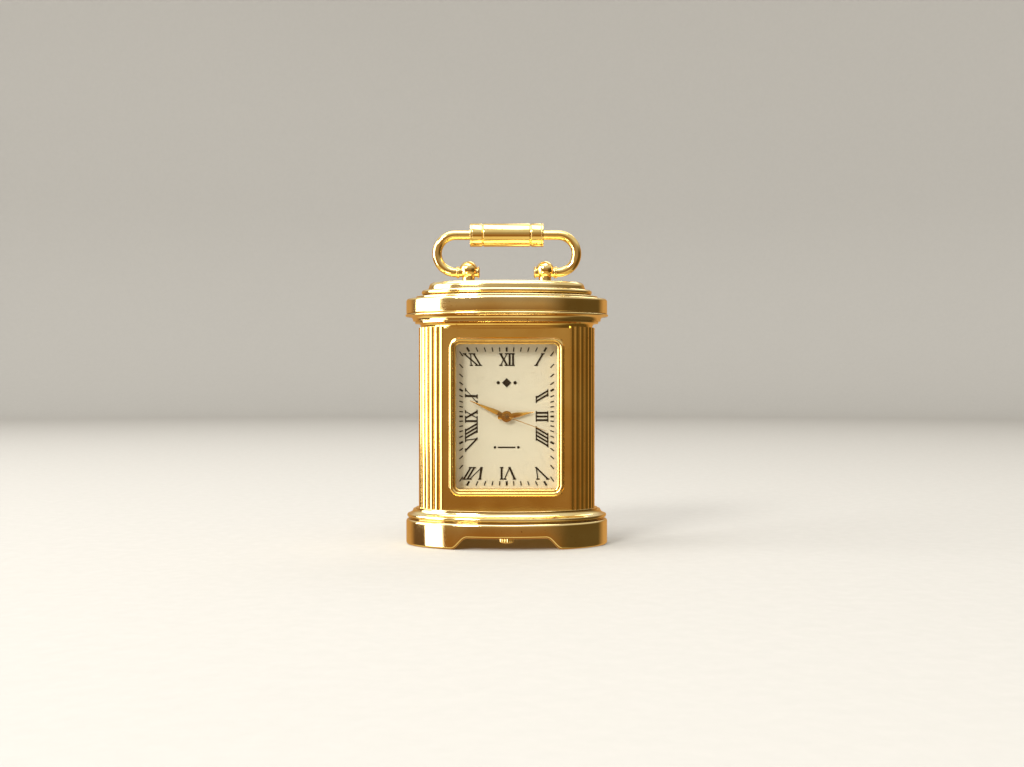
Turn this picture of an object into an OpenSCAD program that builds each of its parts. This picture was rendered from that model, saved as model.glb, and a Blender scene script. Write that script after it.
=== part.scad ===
// Miniature carriage-style clock: oval gilt case, reeded columns, bail handle and a
// battery-driven quartz movement set with a crown under the base.
// +Z is up, the dial faces -Y, and the origin is at the bottom centre, on the table.

/* [Case] */
// Half width of the base and cornice bands
band_a = 21.8; // [21.6:0.1:22.0]
// Half depth of the base and cornice bands
band_b = 13; // [12.8:0.1:13.2]
// Half width of the reeded body
body_a = 19.1; // [19.0:0.1:19.3]
// Height of the base, up to the foot of the body
base_h = 7.9; // [7.8:0.1:8.1]
// Height of the reeded body
body_h = 39.7; // [39.5:0.1:39.9]
// Distance from the middle to the flat front and back panels
panel_y = 6.7; // [6.6:0.1:6.8]
// Half width of the flat panels
panel_a = 13.8; // [13.7:0.1:13.9]
// Number of reeds round each column, the two end ones cut by the panels
reed_count = 13; // [11:2:13]

/* [Front arch] */
// Height of the arch under the base
arch_h = 2.42; // [2.2:0.1:2.8]
// Half width of the arch at its top
arch_top_a = 8.2; // [8:0.1:8.8]
// Half width of the arch at the table
arch_foot_a = 11.6; // [11.2:0.1:11.9]

/* [Dial] */
// Height of the dial centre above the table
dial_z = 27.6; // [27.5:0.1:27.7]
// Half width of the visible dial
dial_a = 10.75; // [10.6:0.05:10.8]
// Half height of the visible dial
dial_c = 15.35; // [15.2:0.05:15.4]
// Hour hand angle at rest, clockwise from twelve
hour_angle = 80.9; // [0:0.1:360]
// Minute hand angle at rest, clockwise from twelve
minute_angle = 293.4; // [0:0.1:360]
// Second hand angle at rest, clockwise from twelve
second_angle = 109.9; // [0:0.1:360]

/* [Handle] */
// Distance of each post from the middle
post_x = 8.3; // [8.2:0.1:8.4]
// Height of the pivot above the top of the cornice
pivot_rise = 2.3; // [2.2:0.1:2.5]
// Height of the grip above the pivot
grip_rise = 8.1; // [8:0.1:8.5]
// Thickness of the bail wire
wire_d = 2.1; // [1.9:0.1:2.2]
// Thickness of the grip
grip_d = 5.1; // [4.8:0.1:5.2]
// Length of the whole grip
grip_len = 15.9; // [15.6:0.1:16.4]

/* [Crown] */
// Width of the setting crown
crown_d = 3.2; // [3:0.1:3.4]
// Gap between the crown and the table
crown_gap = 0.25; // [0.2:0.05:0.4]

/* [Hidden] */
$fn = 64;

// Running clearance between a turning piece and its bearing
play = 0.04;

// Case: the oval loses as much depth as width at every inward step
oval_drop = band_a - band_b;
body_top = base_h + body_h;
wall = 1.2;
panel_inner = panel_y - wall;
cavity_a = 12.3;
case_screw_x = 15.6;
case_screw_r = 0.8;
base_wall = 1.5;
deck_z = 5;
band_edge_r = 0.55;
band_top = 4.95 + band_edge_r;
foot_lip_z = 6.1;
foot_cove_z = 6.7;
foot_cove_h = 0.75;
foot_cove_r = 1.4;
foot_groove_in = 0.9;
foot_lip_in = 0.2;
foot_top_out = 0.6;
neck_z = body_top - 0.9;

// Reeds: circles along an inner oval, with fine grooves where they meet
reed_r = 1.14;
reed_oval = body_a - reed_r;
reed_groove = 0.28;

// Cornice levels, from its foot
cove_z = body_top + 0.5;
cove_r = 1.0;
lip_z = cove_z + cove_r;
lip_r = 0.25;
cornice_band_z = lip_z + 2 * lip_r;
soffit_out = 0.8;
cove_out = 1;
lip_out = 0.2;
step_in = 2.1;
step_h = 0.55;
ledge_in = 3.9;
torus_in = 3.3;
groove_in = 4.8;
top_r = 1.1;
step_z = body_top + 5.35;
torus_z = step_z + 0.8;
torus_r = 0.55;
top_groove_z = torus_z + 2 * torus_r;
cornice_top = body_top + 8.9;
nut_t = 1.2;
nut_seat = cornice_top - 3;

// Handle
pivot_z = cornice_top + pivot_rise;
grip_z = pivot_z + grip_rise;
wire_r = wire_d / 2;
bend_r = grip_rise / 2;
bend_x = 11.1;
post_r = 1.35;
ball_r = 1.95;
ball_z = pivot_z + 0.5;
collar_r = wire_r + 0.25;
collar_gap = 0.05;
button_t = 0.4;
collar_t = 0.6;
cap_len = 2.9;

// Levels from front to back through the dial and the movement
bezel_w = 1.5;
bezel_front = -8;
bead_rise = -bezel_front - panel_y;
bead_r = 0.42;
bead_out = 0.2;
bead_foot = 0.5;
inner_bead_r = 0.33;
crystal_front = -7.2;
crystal_t = 0.8;
spacer_back = -4.4;
dial_t = 0.4;
dial_back = spacer_back + dial_t;
ink_t = 0.02;
plate_front = -3.1;
plate_back = -2.4;
bridge_front = -0.7;
bridge_back = -0.3;
board_back = -0.1;
opening_a = 11.75;
opening_c = dial_c + 1;
opening_r = 1.9;

// Movement: places are [right, up] of the dial centre
mvt_a = 7.65;
mvt_c = 8.9;
third_at = 3.24 * [cos(150), sin(150)];
fifth_at = 2.4 * [cos(-20), sin(-20)];
rotor_at = fifth_at + 2.1 * [cos(-30), sin(-30)];
minute_at = [0, -2.4];
setting_at = [0, -5.2];
battery_at = [3.4, 5.1];
lever_at = [2, -8.2];
lever_room = 0.5;
stem_y = (plate_front + plate_back) / 2;
arbor_r = 0.13;
wheel_t = 0.15;
second_wheel_y = -1.35;
centre_wheel_y = -2.3;
train_y = -1.78;
rotor_mesh_y = -1.9;
motion_y = -3.4;
motion_t = 0.2;
hour_wheel_y = -3.85;
hour_hand_y = -5.05;
minute_hand_y = -5.55;
hand_t = 0.15;
second_hand_y = -6.1;
second_hand_t = 0.1;
second_half = 0.09;
paddle_half = 0.45;
paddle_len = 1.1;
second_tail = 2.05;
second_len = 8.97;

// Gear modules: each coaxial pair shares one centre distance
m_seconds = 3.24 / 34;
m_centre = 3.24 / 36;
m_fifth = 0.1;
m_rotor = 0.075;
m_cannon = 0.1;
m_hour = 0.096;

// A tooth of b lies in a gap of a, where angle points from a to b
function mesh(phase_a, teeth_a, teeth_b, angle) =
    angle + 180 + 180 / teeth_b - (phase_a - angle) * teeth_a / teeth_b;

fifth_phase = mesh(0, 40, 8, -20);
rotor_phase = mesh(fifth_phase, 48, 8, -30);
third_phase = mesh(0, 8, 60, 150);
centre_phase = mesh(third_phase, 8, 64, -30);
minute_phase = mesh(0, 12, 36, -90);
hour_phase = mesh(0, 10, 40, 90);
setting_phase = mesh(minute_phase, 36, 20, -90);

// ---------- shared shapes ----------

module oval(a) {
    scale([1, (a - oval_drop) / a]) circle(a);
}

module slab(a, z0, z1) {
    translate([0, 0, z0]) linear_extrude(z1 - z0) oval(a);
}

// A moulding turned round the oval from a profile drawn at radius a
module moulding(a) {
    scale([1, (a - oval_drop) / a, 1]) rotate_extrude() children();
}

// A disc with a full-round rim
module round_slab(a, z0, r) {
    moulding(a) {
        translate([0, z0]) square([a - r, 2 * r]);
        translate([a - r, z0 + r]) circle(r);
    }
}

// Draws in the dial plane, from level y0 back to level y1
module layer(y0, y1) {
    translate([0, y1, dial_z]) rotate([90, 0, 0]) linear_extrude(y1 - y0) children();
}

// A round bar along Y at a place in the dial plane
module bar(at, r, y0, y1) {
    translate([at[0], y1, dial_z + at[1]]) rotate([90, 0, 0]) cylinder(r = r, h = y1 - y0);
}

module box_outline(a, c) {
    square([2 * a, 2 * c], center = true);
}

module round_outline(a, c, r) {
    difference() {
        box_outline(a, c);
        for (sx = [-1, 1], sz = [-1, 1])
            translate([sx * (a - r / 2), sz * (c - r / 2)]) square(r + 0.001, center = true);
    }
    for (sx = [-1, 1], sz = [-1, 1])
        translate([sx * (a - r), sz * (c - r)]) circle(r);
}

// Sweeps a profile round a rectangle with round corners; profile x points outward
module frame_sweep(a, c, r) {
    for (i = [0:3]) {
        long = i % 2 == 0 ? c : a;
        side = i % 2 == 0 ? a : c;
        rotate(90 * i) {
            translate([side, long - r, 0]) rotate([90, 0, 0]) linear_extrude(2 * (long - r)) children();
            translate([side - r, long - r, 0]) rotate_extrude(angle = 90) translate([r, 0]) children();
        }
    }
}

// Tooth outline: four points a tooth, from root to tip and back
module gear(teeth, m, phase = 0) {
    pitch = 360 / teeth;
    tip = m * (teeth / 2 + 0.9);
    root = m * (teeth / 2 - 1.15);
    flank = [[root, -0.27], [tip, -0.1], [tip, 0.1], [root, 0.27]];
    polygon([
        for (i = [0:teeth - 1])
            for (p = flank)
                p[0] * [cos(phase + (i + p[1]) * pitch), sin(phase + (i + p[1]) * pitch)]
    ]);
}

// A train wheel: toothed rim, hub and four crossings
module train_wheel(at, teeth, m, phase, bore, y0, t = wheel_t) {
    rim = m * (teeth / 2 - 1.15) - 0.3;
    hub = bore + 0.4;
    layer(y0, y0 + t) translate(at) difference() {
        gear(teeth, m, phase);
        circle(bore);
        for (i = [0:3])
            rotate(phase + 90 * i + 45)
                translate([(rim + hub) / 2, 0]) circle((rim - hub) / 2 - 0.02);
    }
}

module pinion(at, teeth, m, phase, y0, y1) {
    layer(y0, y1) translate(at) gear(teeth, m, phase);
}

// ---------- case ----------

// The arch's flanks fall to the table in an easy double curve
module arch_outline() {
    steps = 10;
    flank = [for (i = [0:steps])
        [arch_top_a + (arch_foot_a - arch_top_a) * i / steps, arch_h * (1 + cos(180 * i / steps)) / 2]];
    polygon(concat(
        flank,
        [[arch_foot_a, -1], [-arch_foot_a, -1]],
        [for (i = [steps:-1:0]) [-flank[i][0], flank[i][1]]]
    ));
}

module base_plinth() {
    color("goldenrod") difference() {
        union() {
            slab(band_a, -1, band_top - band_edge_r);
            round_slab(band_a - 0.02, band_top - 2 * band_edge_r, band_edge_r);
            slab(band_a - foot_groove_in, band_top, foot_lip_z);
            round_slab(band_a - foot_lip_in, foot_lip_z - 0.3, (foot_cove_z - foot_lip_z + 0.3) / 2);
            moulding(band_a - 0.6) translate([0, foot_cove_z - 0.2]) difference() {
                square([band_a - 0.6, foot_cove_h + 0.2]);
                translate([band_a - foot_lip_in, foot_cove_h + foot_cove_r / 2]) circle(foot_cove_r);
            }
            slab(body_a + foot_top_out, foot_cove_z, base_h);
        }
        translate([-band_a - 1, -band_b - 1, -2]) cube([2 * band_a + 2, 2 * band_b + 2, 2]);
        slab(band_a - base_wall, -2, deck_z);
        translate([0, 20, 0]) rotate([90, 0, 0]) linear_extrude(40) arch_outline();
        translate([0, stem_y, 0]) cylinder(r = 0.6, h = base_h + 1);
        for (s = [-1, 1])
            translate([s * case_screw_x, 0, 0]) cylinder(r = case_screw_r + play, h = base_h + 1);
    }
}

// Millimetres travelled round the body oval for each degree of its parameter t
function oval_speed(t) =
    norm([body_a * sin(t), (body_a - oval_drop) * cos(t)]) * PI / 180;
reed_start = acos((panel_a - 0.35) / body_a);
function oval_length(t) = t <= 0 ? 0 : 0.5 * oval_speed(t) + oval_length(t - 0.5);
reed_pitch = 2 * oval_length(reed_start) / reed_count;
function after(t, run) = run <= 0 ? t : after(t - 0.25, run - 0.25 * oval_speed(t));

module reeds() {
    for (sx = [-1, 1], i = [0:reed_count - 1]) {
        t = after(reed_start, reed_pitch * (i + 0.5));
        translate([sx * reed_oval * cos(t), (reed_oval - oval_drop) * sin(t)]) circle(reed_r);
    }
}

module body_outline() {
    difference() {
        union() {
            oval(body_a - reed_groove);
            reeds();
        }
        for (s = [-1, 1])
            translate([0, s * (panel_y + 5)]) square([2 * panel_a, 10], center = true);
        box_outline(cavity_a, panel_inner);
        for (s = [-1, 1]) translate([s * case_screw_x, 0]) circle(case_screw_r + play);
    }
}

module case_body() {
    color("gold") difference() {
        union() {
            translate([0, 0, base_h]) linear_extrude(neck_z - base_h) body_outline();
            translate([0, 0, neck_z]) linear_extrude(body_top - neck_z) difference() {
                oval(body_a - 0.5);
                box_outline(cavity_a, panel_inner);
                for (s = [-1, 1]) translate([s * case_screw_x, 0]) circle(case_screw_r + play);
            }
        }
        layer(-panel_y - 1, -panel_inner + 0.1) round_outline(opening_a, opening_c, opening_r);
        layer(panel_inner - 0.1, panel_y + 1) box_outline(8, 12.5);
        for (p = cover_screws) bar(p, 0.4, panel_inner - 0.1, panel_y + 1);
    }
}

module cornice() {
    color("goldenrod") difference() {
        union() {
            slab(body_a + soffit_out, body_top, cove_z);
            moulding(band_a) translate([0, cove_z - 0.001]) difference() {
                square([body_a + cove_out + cove_r, cove_r + 0.002]);
                translate([body_a + cove_out + cove_r, 0]) circle(cove_r);
            }
            round_slab(band_a + lip_out, lip_z, lip_r);
            slab(band_a, cornice_band_z - 0.1, step_z);
            slab(band_a - step_in, step_z, step_z + step_h);
            slab(band_a - ledge_in, step_z + step_h, torus_z);
            round_slab(band_a - torus_in, torus_z, torus_r);
            slab(band_a - groove_in, top_groove_z, cornice_top - top_r);
            moulding(band_a - groove_in - 0.1) translate([0, cornice_top - top_r]) {
                square([band_a - groove_in - 0.1 - top_r, top_r]);
                intersection() {
                    translate([band_a - groove_in - 0.1 - top_r, 0]) circle(top_r);
                    square([band_a, top_r]);
                }
            }
        }
        translate([-12, -5, body_top - 1]) cube([24, 10, nut_seat - body_top + 1]);
        for (s = [-1, 1]) {
            translate([s * case_screw_x, 0, body_top - 1]) cylinder(r = case_screw_r, h = 4);
            translate([s * post_x, 0, nut_seat - 1]) cylinder(r = 0.8 + play, h = 6);
        }
    }
}

module case_screws() {
    color("silver") for (s = [-1, 1]) translate([s * case_screw_x, 0, 0]) {
        difference() {
            translate([0, 0, deck_z - 1]) cylinder(r = 1.5, h = 1);
            translate([0, 0, deck_z - 1]) cube([4, 0.4, 0.8], center = true);
        }
        translate([0, 0, deck_z]) cylinder(r = case_screw_r, h = body_top + 2.8 - deck_z);
    }
}

module bezel() {
    half = bezel_w / 2;
    color("gold") {
        translate([0, -panel_y, dial_z]) rotate([90, 0, 0])
            frame_sweep(dial_a + half, dial_c + half, 1.65) {
                translate([-half, 0]) square([bezel_w, bead_foot]);
                translate([inner_bead_r - half, bead_foot]) circle(inner_bead_r);
                translate([bead_out - bead_r, 0]) square([2 * bead_r, bead_rise - bead_r]);
                translate([bead_out, bead_rise - bead_r]) circle(bead_r);
            }
        layer(-panel_y, -panel_inner) difference() {
            round_outline(opening_a - 0.02, opening_c - 0.02, opening_r);
            box_outline(dial_a + 0.45, dial_c + 0.45);
        }
    }
}

module crystal() {
    color("white", 0.3) {
        layer(crystal_front, -panel_y) round_outline(dial_a - 0.02, dial_c - 0.02, 0.88);
        layer(-panel_y, crystal_front + crystal_t) box_outline(dial_a + 0.4, dial_c + 0.4);
    }
}

module dial_spacer() {
    crystal_back = crystal_front + crystal_t;
    color("wheat") difference() {
        union() {
            layer(crystal_back, -panel_inner) box_outline(dial_a + 0.4, dial_c + 0.4);
            layer(-panel_inner, spacer_back) box_outline(cavity_a - 0.1, dial_c + 1.8);
        }
        layer(crystal_back - 1, spacer_back + 1) box_outline(dial_a + 0.02, dial_c + 0.02);
    }
}

// ---------- dial ----------

module dial_plate() {
    color("ivory") layer(spacer_back, dial_back) difference() {
        box_outline(cavity_a - 0.3, dial_c + 1.5);
        circle(0.95);
    }
}

// Strokes of each letter, in letter heights: foot, head, half thickness, foot serif
letter_i = [[0, 0, 0.067, 0.12]];
letter_v = [[0, -0.4, 0.075, 0.075], [0, 0.4, 0.03, 0.03]];
letter_x = [[0.24, -0.24, 0.075, 0.15], [-0.24, 0.24, 0.03, 0.11]];
// Letters of each numeral from twelve round to eleven, with their places along the word
numerals = [
    [[letter_x, -0.24], [letter_i, 0.24], [letter_i, 0.52]],
    [[letter_i, 0]],
    [[letter_i, -0.15], [letter_i, 0.15]],
    [[letter_i, -0.3], [letter_i, 0], [letter_i, 0.3]],
    [[letter_i, -0.45], [letter_i, -0.15], [letter_i, 0.15], [letter_i, 0.45]],
    [[letter_v, 0]],
    [[letter_v, -0.24], [letter_i, 0.42]],
    [[letter_v, -0.36], [letter_i, 0.24], [letter_i, 0.54]],
    [[letter_v, -0.42], [letter_i, 0.2], [letter_i, 0.5], [letter_i, 0.8]],
    [[letter_i, -0.38], [letter_x, 0.14]],
    [[letter_x, 0]],
    [[letter_x, -0.24], [letter_i, 0.26]]
];
serif_w = 0.12;
serif_h = 0.055;

// Numerals follow the rays of the rectangular dial, tops outward: the top and bottom rows
// lean along the ray, and the side columns are turned a quarter with the same lean
row_c = 12.15;
column_a = 7.55;
letter_h = 2.6;
function ink_row(angle, up, x, y) =
    [up * (row_c + letter_h * y) * tan(angle) + up * letter_h * x, up * (row_c + letter_h * y)];
function ink_column(angle, out, x, y) =
    [out * (column_a + letter_h * y), out * ((column_a + letter_h * y) / tan(angle) - letter_h * x)];
function ink(hour, x, y) =
    abs(tan(30 * hour)) < 1
        ? ink_row(30 * hour, sign(cos(30 * hour)), x, y)
        : ink_column(30 * hour, sign(sin(30 * hour)), x, y);

module stroke(hour, foot, head, half, foot_w) {
    head_w = max(serif_w, half);
    outline = [
        [foot - foot_w, -0.5], [foot + foot_w, -0.5], [foot + foot_w, serif_h - 0.5],
        [foot + half, serif_h - 0.5], [head + half, 0.5 - serif_h], [head + head_w, 0.5 - serif_h],
        [head + head_w, 0.5], [head - head_w, 0.5], [head - head_w, 0.5 - serif_h],
        [head - half, 0.5 - serif_h], [foot - half, serif_h - 0.5], [foot - foot_w, serif_h - 0.5]
    ];
    polygon([for (p = outline) ink(hour, p[0], p[1])]);
}

module hour_numeral(hour) {
    for (letter = numerals[hour])
        for (s = letter[0])
            stroke(hour, letter[1] + s[0], letter[1] + s[1], s[2], s[3]);
}

// Minute marks stand on a rectangle and point along the rays
track_a = [9.4, 10.05];
track_c = [13.9, 14.7];
module minute_mark(minute) {
    angle = 6 * minute;
    across = abs(tan(angle)) * track_c[0] < track_a[1];
    reach = across ? track_c / abs(cos(angle)) : track_a / abs(sin(angle));
    half = minute % 5 == 0 ? 0.15 : 0.06;
    rotate(-angle) translate([-half, reach[0]]) square([2 * half, reach[1] - reach[0]]);
}

// A plain lozenge between two dots above the hands, and a short rule below them
module ornament() {
    translate([0, 7.2]) rotate(45) square(1.3, center = true);
    for (s = [-1, 1]) translate([1.8 * s, 7.2]) circle(0.28);
    translate([0, -6.6]) square([3.6, 0.16], center = true);
    for (s = [-1, 1]) translate([2.5 * s, -6.6]) circle(0.2);
}

module dial_markings() {
    color("black") layer(spacer_back - ink_t, spacer_back) {
        for (hour = [0:11]) hour_numeral(hour);
        for (minute = [0:59]) minute_mark(minute);
        ornament();
    }
}

module dial_washer() {
    color("gold") layer(dial_back, dial_back + 0.08) difference() {
        circle(1.6);
        circle(0.95);
    }
}

// ---------- holder and back ----------

holder_c = 18.4;
ledge_a = 6.9;
ledge_c = 8.2;
module movement_holder() {
    color("whitesmoke") difference() {
        layer(dial_back, panel_inner) box_outline(cavity_a - 0.1, holder_c);
        layer(dial_back - 1, board_back) box_outline(mvt_a + 0.05, mvt_c + 0.05);
        layer(board_back - 1, panel_inner + 1) box_outline(ledge_a, ledge_c);
        translate([0, stem_y, dial_z - holder_c - 1]) cylinder(r = 0.6, h = holder_c - mvt_c + 1.5);
        layer(plate_back, plate_back + 0.5)
            translate([-lever_room, -mvt_c - lever_room]) square([4 * lever_room, 2 * lever_room]);
        for (p = cover_screws) bar(p, 0.6, panel_inner - 2, panel_inner + 1);
    }
}

cover_a = 11;
cover_c = 16;
cover_t = 0.9;
cover_screws = [for (sx = [-1, 1], sz = [-1, 1]) [sx * (cover_a - 1.4), sz * (cover_c - 1.4)]];
module rear_cover() {
    color("gold") difference() {
        union() {
            layer(panel_y, panel_y + cover_t) round_outline(cover_a, cover_c, 1.5);
            layer(panel_inner + 0.1, panel_y) box_outline(7.9, 12.4);
        }
        layer(panel_inner - 1, panel_y - 0.2) box_outline(7.1, 11.6);
        for (p = cover_screws) bar(p, 0.45, panel_inner, panel_y + 2);
    }
}

module rear_cover_screws() {
    head_y = panel_y + cover_t;
    color("silver") for (p = cover_screws) {
        difference() {
            bar(p, 0.85, head_y, head_y + 0.4);
            translate([p[0], head_y + 0.35, dial_z + p[1]]) cube([2, 0.3, 0.22], center = true);
        }
        bar(p, 0.4, panel_inner - 1, head_y);
    }
}

// ---------- handle ----------

// A round post with a ball head, bored across for the wire, on a stud through the cornice
module handle_post() {
    difference() {
        union() {
            translate([0, 0, cornice_top]) cylinder(r = post_r, h = ball_z - cornice_top);
            translate([0, 0, ball_z]) sphere(ball_r);
            translate([0, 0, nut_seat - nut_t]) cylinder(r = 0.8, h = cornice_top - nut_seat + nut_t + 0.1);
        }
        translate([-5, 0, pivot_z]) rotate([0, 90, 0]) cylinder(r = wire_r + play, h = 10);
    }
}

module handle_post_left() {
    color("gold") translate([-post_x, 0, 0]) handle_post();
}

module handle_post_right() {
    color("gold") translate([post_x, 0, 0]) handle_post();
}

module post_nuts() {
    color("silver") for (s = [-1, 1])
        translate([s * post_x, 0, nut_seat - nut_t]) difference() {
            cylinder(r = 1.8, h = nut_t, $fn = 6);
            translate([0, 0, -1]) cylinder(r = 0.8, h = nut_t + 2);
        }
}

// One bent wire: from an end button through each post, past a collar, out and round
module handle_bail() {
    end_x = post_x - ball_r - collar_gap - button_t;
    color("gold") {
        for (s = [-1, 1]) {
            translate([s * end_x, 0, pivot_z]) rotate([0, s * 90, 0])
                cylinder(r = wire_r, h = bend_x - end_x);
            translate([s * end_x, 0, pivot_z]) rotate([0, s * 90, 0])
                cylinder(r = collar_r, h = button_t);
            translate([s * (post_x + ball_r + collar_gap), 0, pivot_z]) rotate([0, s * 90, 0])
                cylinder(r = collar_r, h = collar_t);
            translate([s * bend_x, 0, pivot_z + bend_r]) rotate([90, 0, 0])
                rotate(s > 0 ? -90 : 90) rotate_extrude(angle = 180)
                    translate([bend_r, 0]) circle(wire_r);
        }
        translate([-bend_x, 0, grip_z]) rotate([0, 90, 0]) cylinder(r = wire_r, h = 2 * bend_x);
    }
}

module grip_ring(x0, x1, r) {
    translate([x0, 0, grip_z]) rotate([0, 90, 0]) difference() {
        cylinder(r = r, h = x1 - x0);
        translate([0, 0, -1]) cylinder(r = wire_r, h = x1 - x0 + 2);
    }
}

module grip_tube() {
    half = grip_len / 2 - cap_len;
    color("gold") grip_ring(-half, half, grip_d / 2);
}

module grip_caps() {
    half = grip_len / 2;
    groove = 0.3;
    color("goldenrod") for (s = [-1, 1]) {
        grip_ring(min(s * half, s * (half - cap_len + groove)),
            max(s * half, s * (half - cap_len + groove)), grip_d / 2);
        grip_ring(min(s * (half - cap_len), s * (half - cap_len + groove)),
            max(s * (half - cap_len), s * (half - cap_len + groove)), grip_d / 2 - 0.2);
    }
}

// ---------- movement: fixed pieces ----------

stator_outline = [
    [1.2, -7.2], [2.4, -7.2], [3, -3.3], [5.1, -3.3], [6.2, -7.2], [7.4, -7.2], [5.7, -0.8], [3.25, -0.8]
];
coil_at = [2.75, -6.6];
coil_len = 2.95;
coil_y = -1.55;
rotor_r = 0.6;
bridge_screw_at = [[-6.6, 7.6], [-6.6, -4.6], [6.6, -0.2]];

module main_plate() {
    color("khaki") difference() {
        union() {
            layer(plate_front, plate_back) box_outline(mvt_a, mvt_c);
            for (p = [minute_at, setting_at]) bar(p, 0.25, plate_front - 0.75, plate_front);
            bar(lever_at, 0.3, plate_back, plate_back + 0.45);
        }
        bar([0, 0], 0.5 + play, plate_front - 1, plate_back + 1);
        for (p = [third_at, fifth_at, rotor_at]) bar(p, arbor_r + play, plate_front - 1, plate_back + 1);
        layer(plate_front - 1, plate_back + 1)
            translate([-1, -mvt_c - 1]) square([2, mvt_c - 5]);
        for (p = bridge_screw_at) bar(p, 0.35, plate_front - 1, plate_back + 1);
    }
}

module train_bridge() {
    color("silver") difference() {
        union() {
            layer(bridge_front, bridge_back) difference() {
                box_outline(mvt_a - 0.2, mvt_c - 0.3);
                translate(battery_at) circle(3.55);
                translate([1, 4.9]) square([8, 5]);
                translate([1.2, -7.8]) square([6.6, 2.6]);
            }
            for (p = bridge_screw_at) bar(p, 0.7, plate_back, bridge_front + 0.1);
        }
        for (p = bridge_screw_at) bar(p, 0.35, plate_back - 1, bridge_back + 1);
        for (p = [[0, 0], third_at, fifth_at, rotor_at])
            bar(p, arbor_r + play, bridge_front - 1, bridge_back + 1);
    }
}

module bridge_screws() {
    color("silver") for (p = bridge_screw_at) {
        difference() {
            bar(p, 0.65, bridge_back, bridge_back + 0.2);
            translate([p[0], bridge_back + 0.2, dial_z + p[1]]) cube([2, 0.2, 0.16], center = true);
        }
        bar(p, 0.35, plate_front, bridge_back);
    }
}

module stator() {
    color("dimgray") layer(plate_back, plate_back + 0.35) difference() {
        polygon(stator_outline);
        translate(rotor_at) circle(rotor_r + 0.15);
    }
}

module coil_core() {
    color("dimgray") translate([coil_at[0] - 0.9, coil_y, dial_z + coil_at[1]]) {
        rotate([0, 90, 0]) cylinder(r = 0.3, h = coil_len + 1.8);
        for (x = [0.35, coil_len + 1.45])
            translate([x, (plate_back + 0.35 - coil_y) / 2, 0])
                cube([0.7, coil_y - plate_back - 0.35, 0.6], center = true);
    }
}

module coil() {
    color("peru") translate([coil_at[0], coil_y, dial_z + coil_at[1]]) rotate([0, 90, 0])
        difference() {
            union() {
                cylinder(r = 0.7, h = coil_len);
                for (x = [0, coil_len - 0.2]) translate([0, 0, x]) cylinder(r = 0.8, h = 0.2);
            }
            translate([0, 0, -1]) cylinder(r = 0.3, h = coil_len + 2);
        }
}

board_at = [-4, -4.9];
module circuit_board() {
    color("darkgreen") layer(bridge_back, board_back) difference() {
        translate(board_at) box_outline(2.8, 3.2);
        for (p = bridge_screw_at) translate(p) circle(0.85);
    }
}

// A low domed blob of resin over the circuit
module circuit_chip() {
    dome_r = 2;
    dome_h = 0.45;
    color("black") translate([board_at[0] + 0.9, board_back, dial_z + board_at[1] + 1.2]) rotate([-90, 0, 0])
        difference() {
            translate([0, 0, dome_h - dome_r]) sphere(dome_r);
            translate([0, 0, -dome_r]) cube(2 * dome_r, center = true);
        }
}

module quartz_crystal() {
    color("silver") translate([board_at[0] - 1.4, board_back + 0.5, dial_z + board_at[1] - 2.6])
        cylinder(r = 0.5, h = 4.6);
}

module battery() {
    color("silver") {
        bar(battery_at, 3.4, plate_back + 0.4, bridge_back);
        bar(battery_at, 2.6, plate_back, plate_back + 0.4);
    }
}

module battery_strap() {
    color("silver") difference() {
        layer(bridge_back, board_back) {
            translate([-1.4, battery_at[1] - 0.6]) square([5.4, 1.2]);
            translate(battery_at) circle(1.3);
        }
        bar([-0.9, battery_at[1]], 0.2, bridge_back - 1, board_back + 1);
    }
}

// ---------- movement: turning pieces ----------

module second_wheel() {
    color("gold") train_wheel([0, 0], 40, m_fifth, 0, arbor_r, second_wheel_y);
}

module second_arbor() {
    color("silver") {
        bar([0, 0], arbor_r, second_hand_y - 0.05, bridge_back);
        pinion([0, 0], 8, m_seconds, 0, train_y - 0.12, train_y + 0.28);
    }
}

// A slim leaf: widest a quarter of the way out, with a short tail
module hand_outline(length, half, tail, tail_half) {
    polygon([
        [-tail_half, -tail], [tail_half, -tail], [tail_half * 0.8, 0], [half, length * 0.34],
        [0.05, length], [-0.05, length], [-half, length * 0.34], [-tail_half * 0.8, 0]
    ]);
}

module hand(angle, y0, y1, hub, bore, length, half, tail, tail_half) {
    layer(y0, y1) difference() {
        union() {
            rotate(-angle) hand_outline(length, half, tail, tail_half);
            circle(hub);
        }
        circle(bore);
    }
}

// A needle with a paddle behind the arbor that balances it
module second_hand() {
    color("gold") {
        layer(second_hand_y, second_hand_y + second_hand_t) rotate(-second_angle) difference() {
            union() {
                translate([-second_half, -second_tail])
                    square([2 * second_half, second_tail + second_len]);
                translate([-paddle_half, -second_tail]) square([2 * paddle_half, paddle_len]);
                circle(0.5);
            }
            circle(arbor_r);
        }
    }
}

module centre_wheel() {
    color("gold") train_wheel([0, 0], 64, m_centre, centre_phase, 0.5, centre_wheel_y);
}

module cannon_pinion() {
    color("silver") difference() {
        union() {
            bar([0, 0], 0.5, minute_hand_y - 0.05, centre_wheel_y + wheel_t);
            pinion([0, 0], 12, m_cannon, 0, motion_y - 0.05, motion_y + motion_t + 0.05);
        }
        bar([0, 0], arbor_r + play, -7, -1);
    }
}

module minute_hand() {
    color("gold") hand(minute_angle, minute_hand_y, minute_hand_y + hand_t, 0.95, 0.5, 8.55, 0.5, 1.3, 0.3);
}

module hour_wheel() {
    color("gold") difference() {
        union() {
            layer(hour_wheel_y, hour_wheel_y + 0.25) gear(40, m_hour, hour_phase);
            bar([0, 0], 0.8, hour_hand_y - 0.05, hour_wheel_y + 0.25);
        }
        bar([0, 0], 0.5 + play, -6, -3);
    }
}

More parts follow.
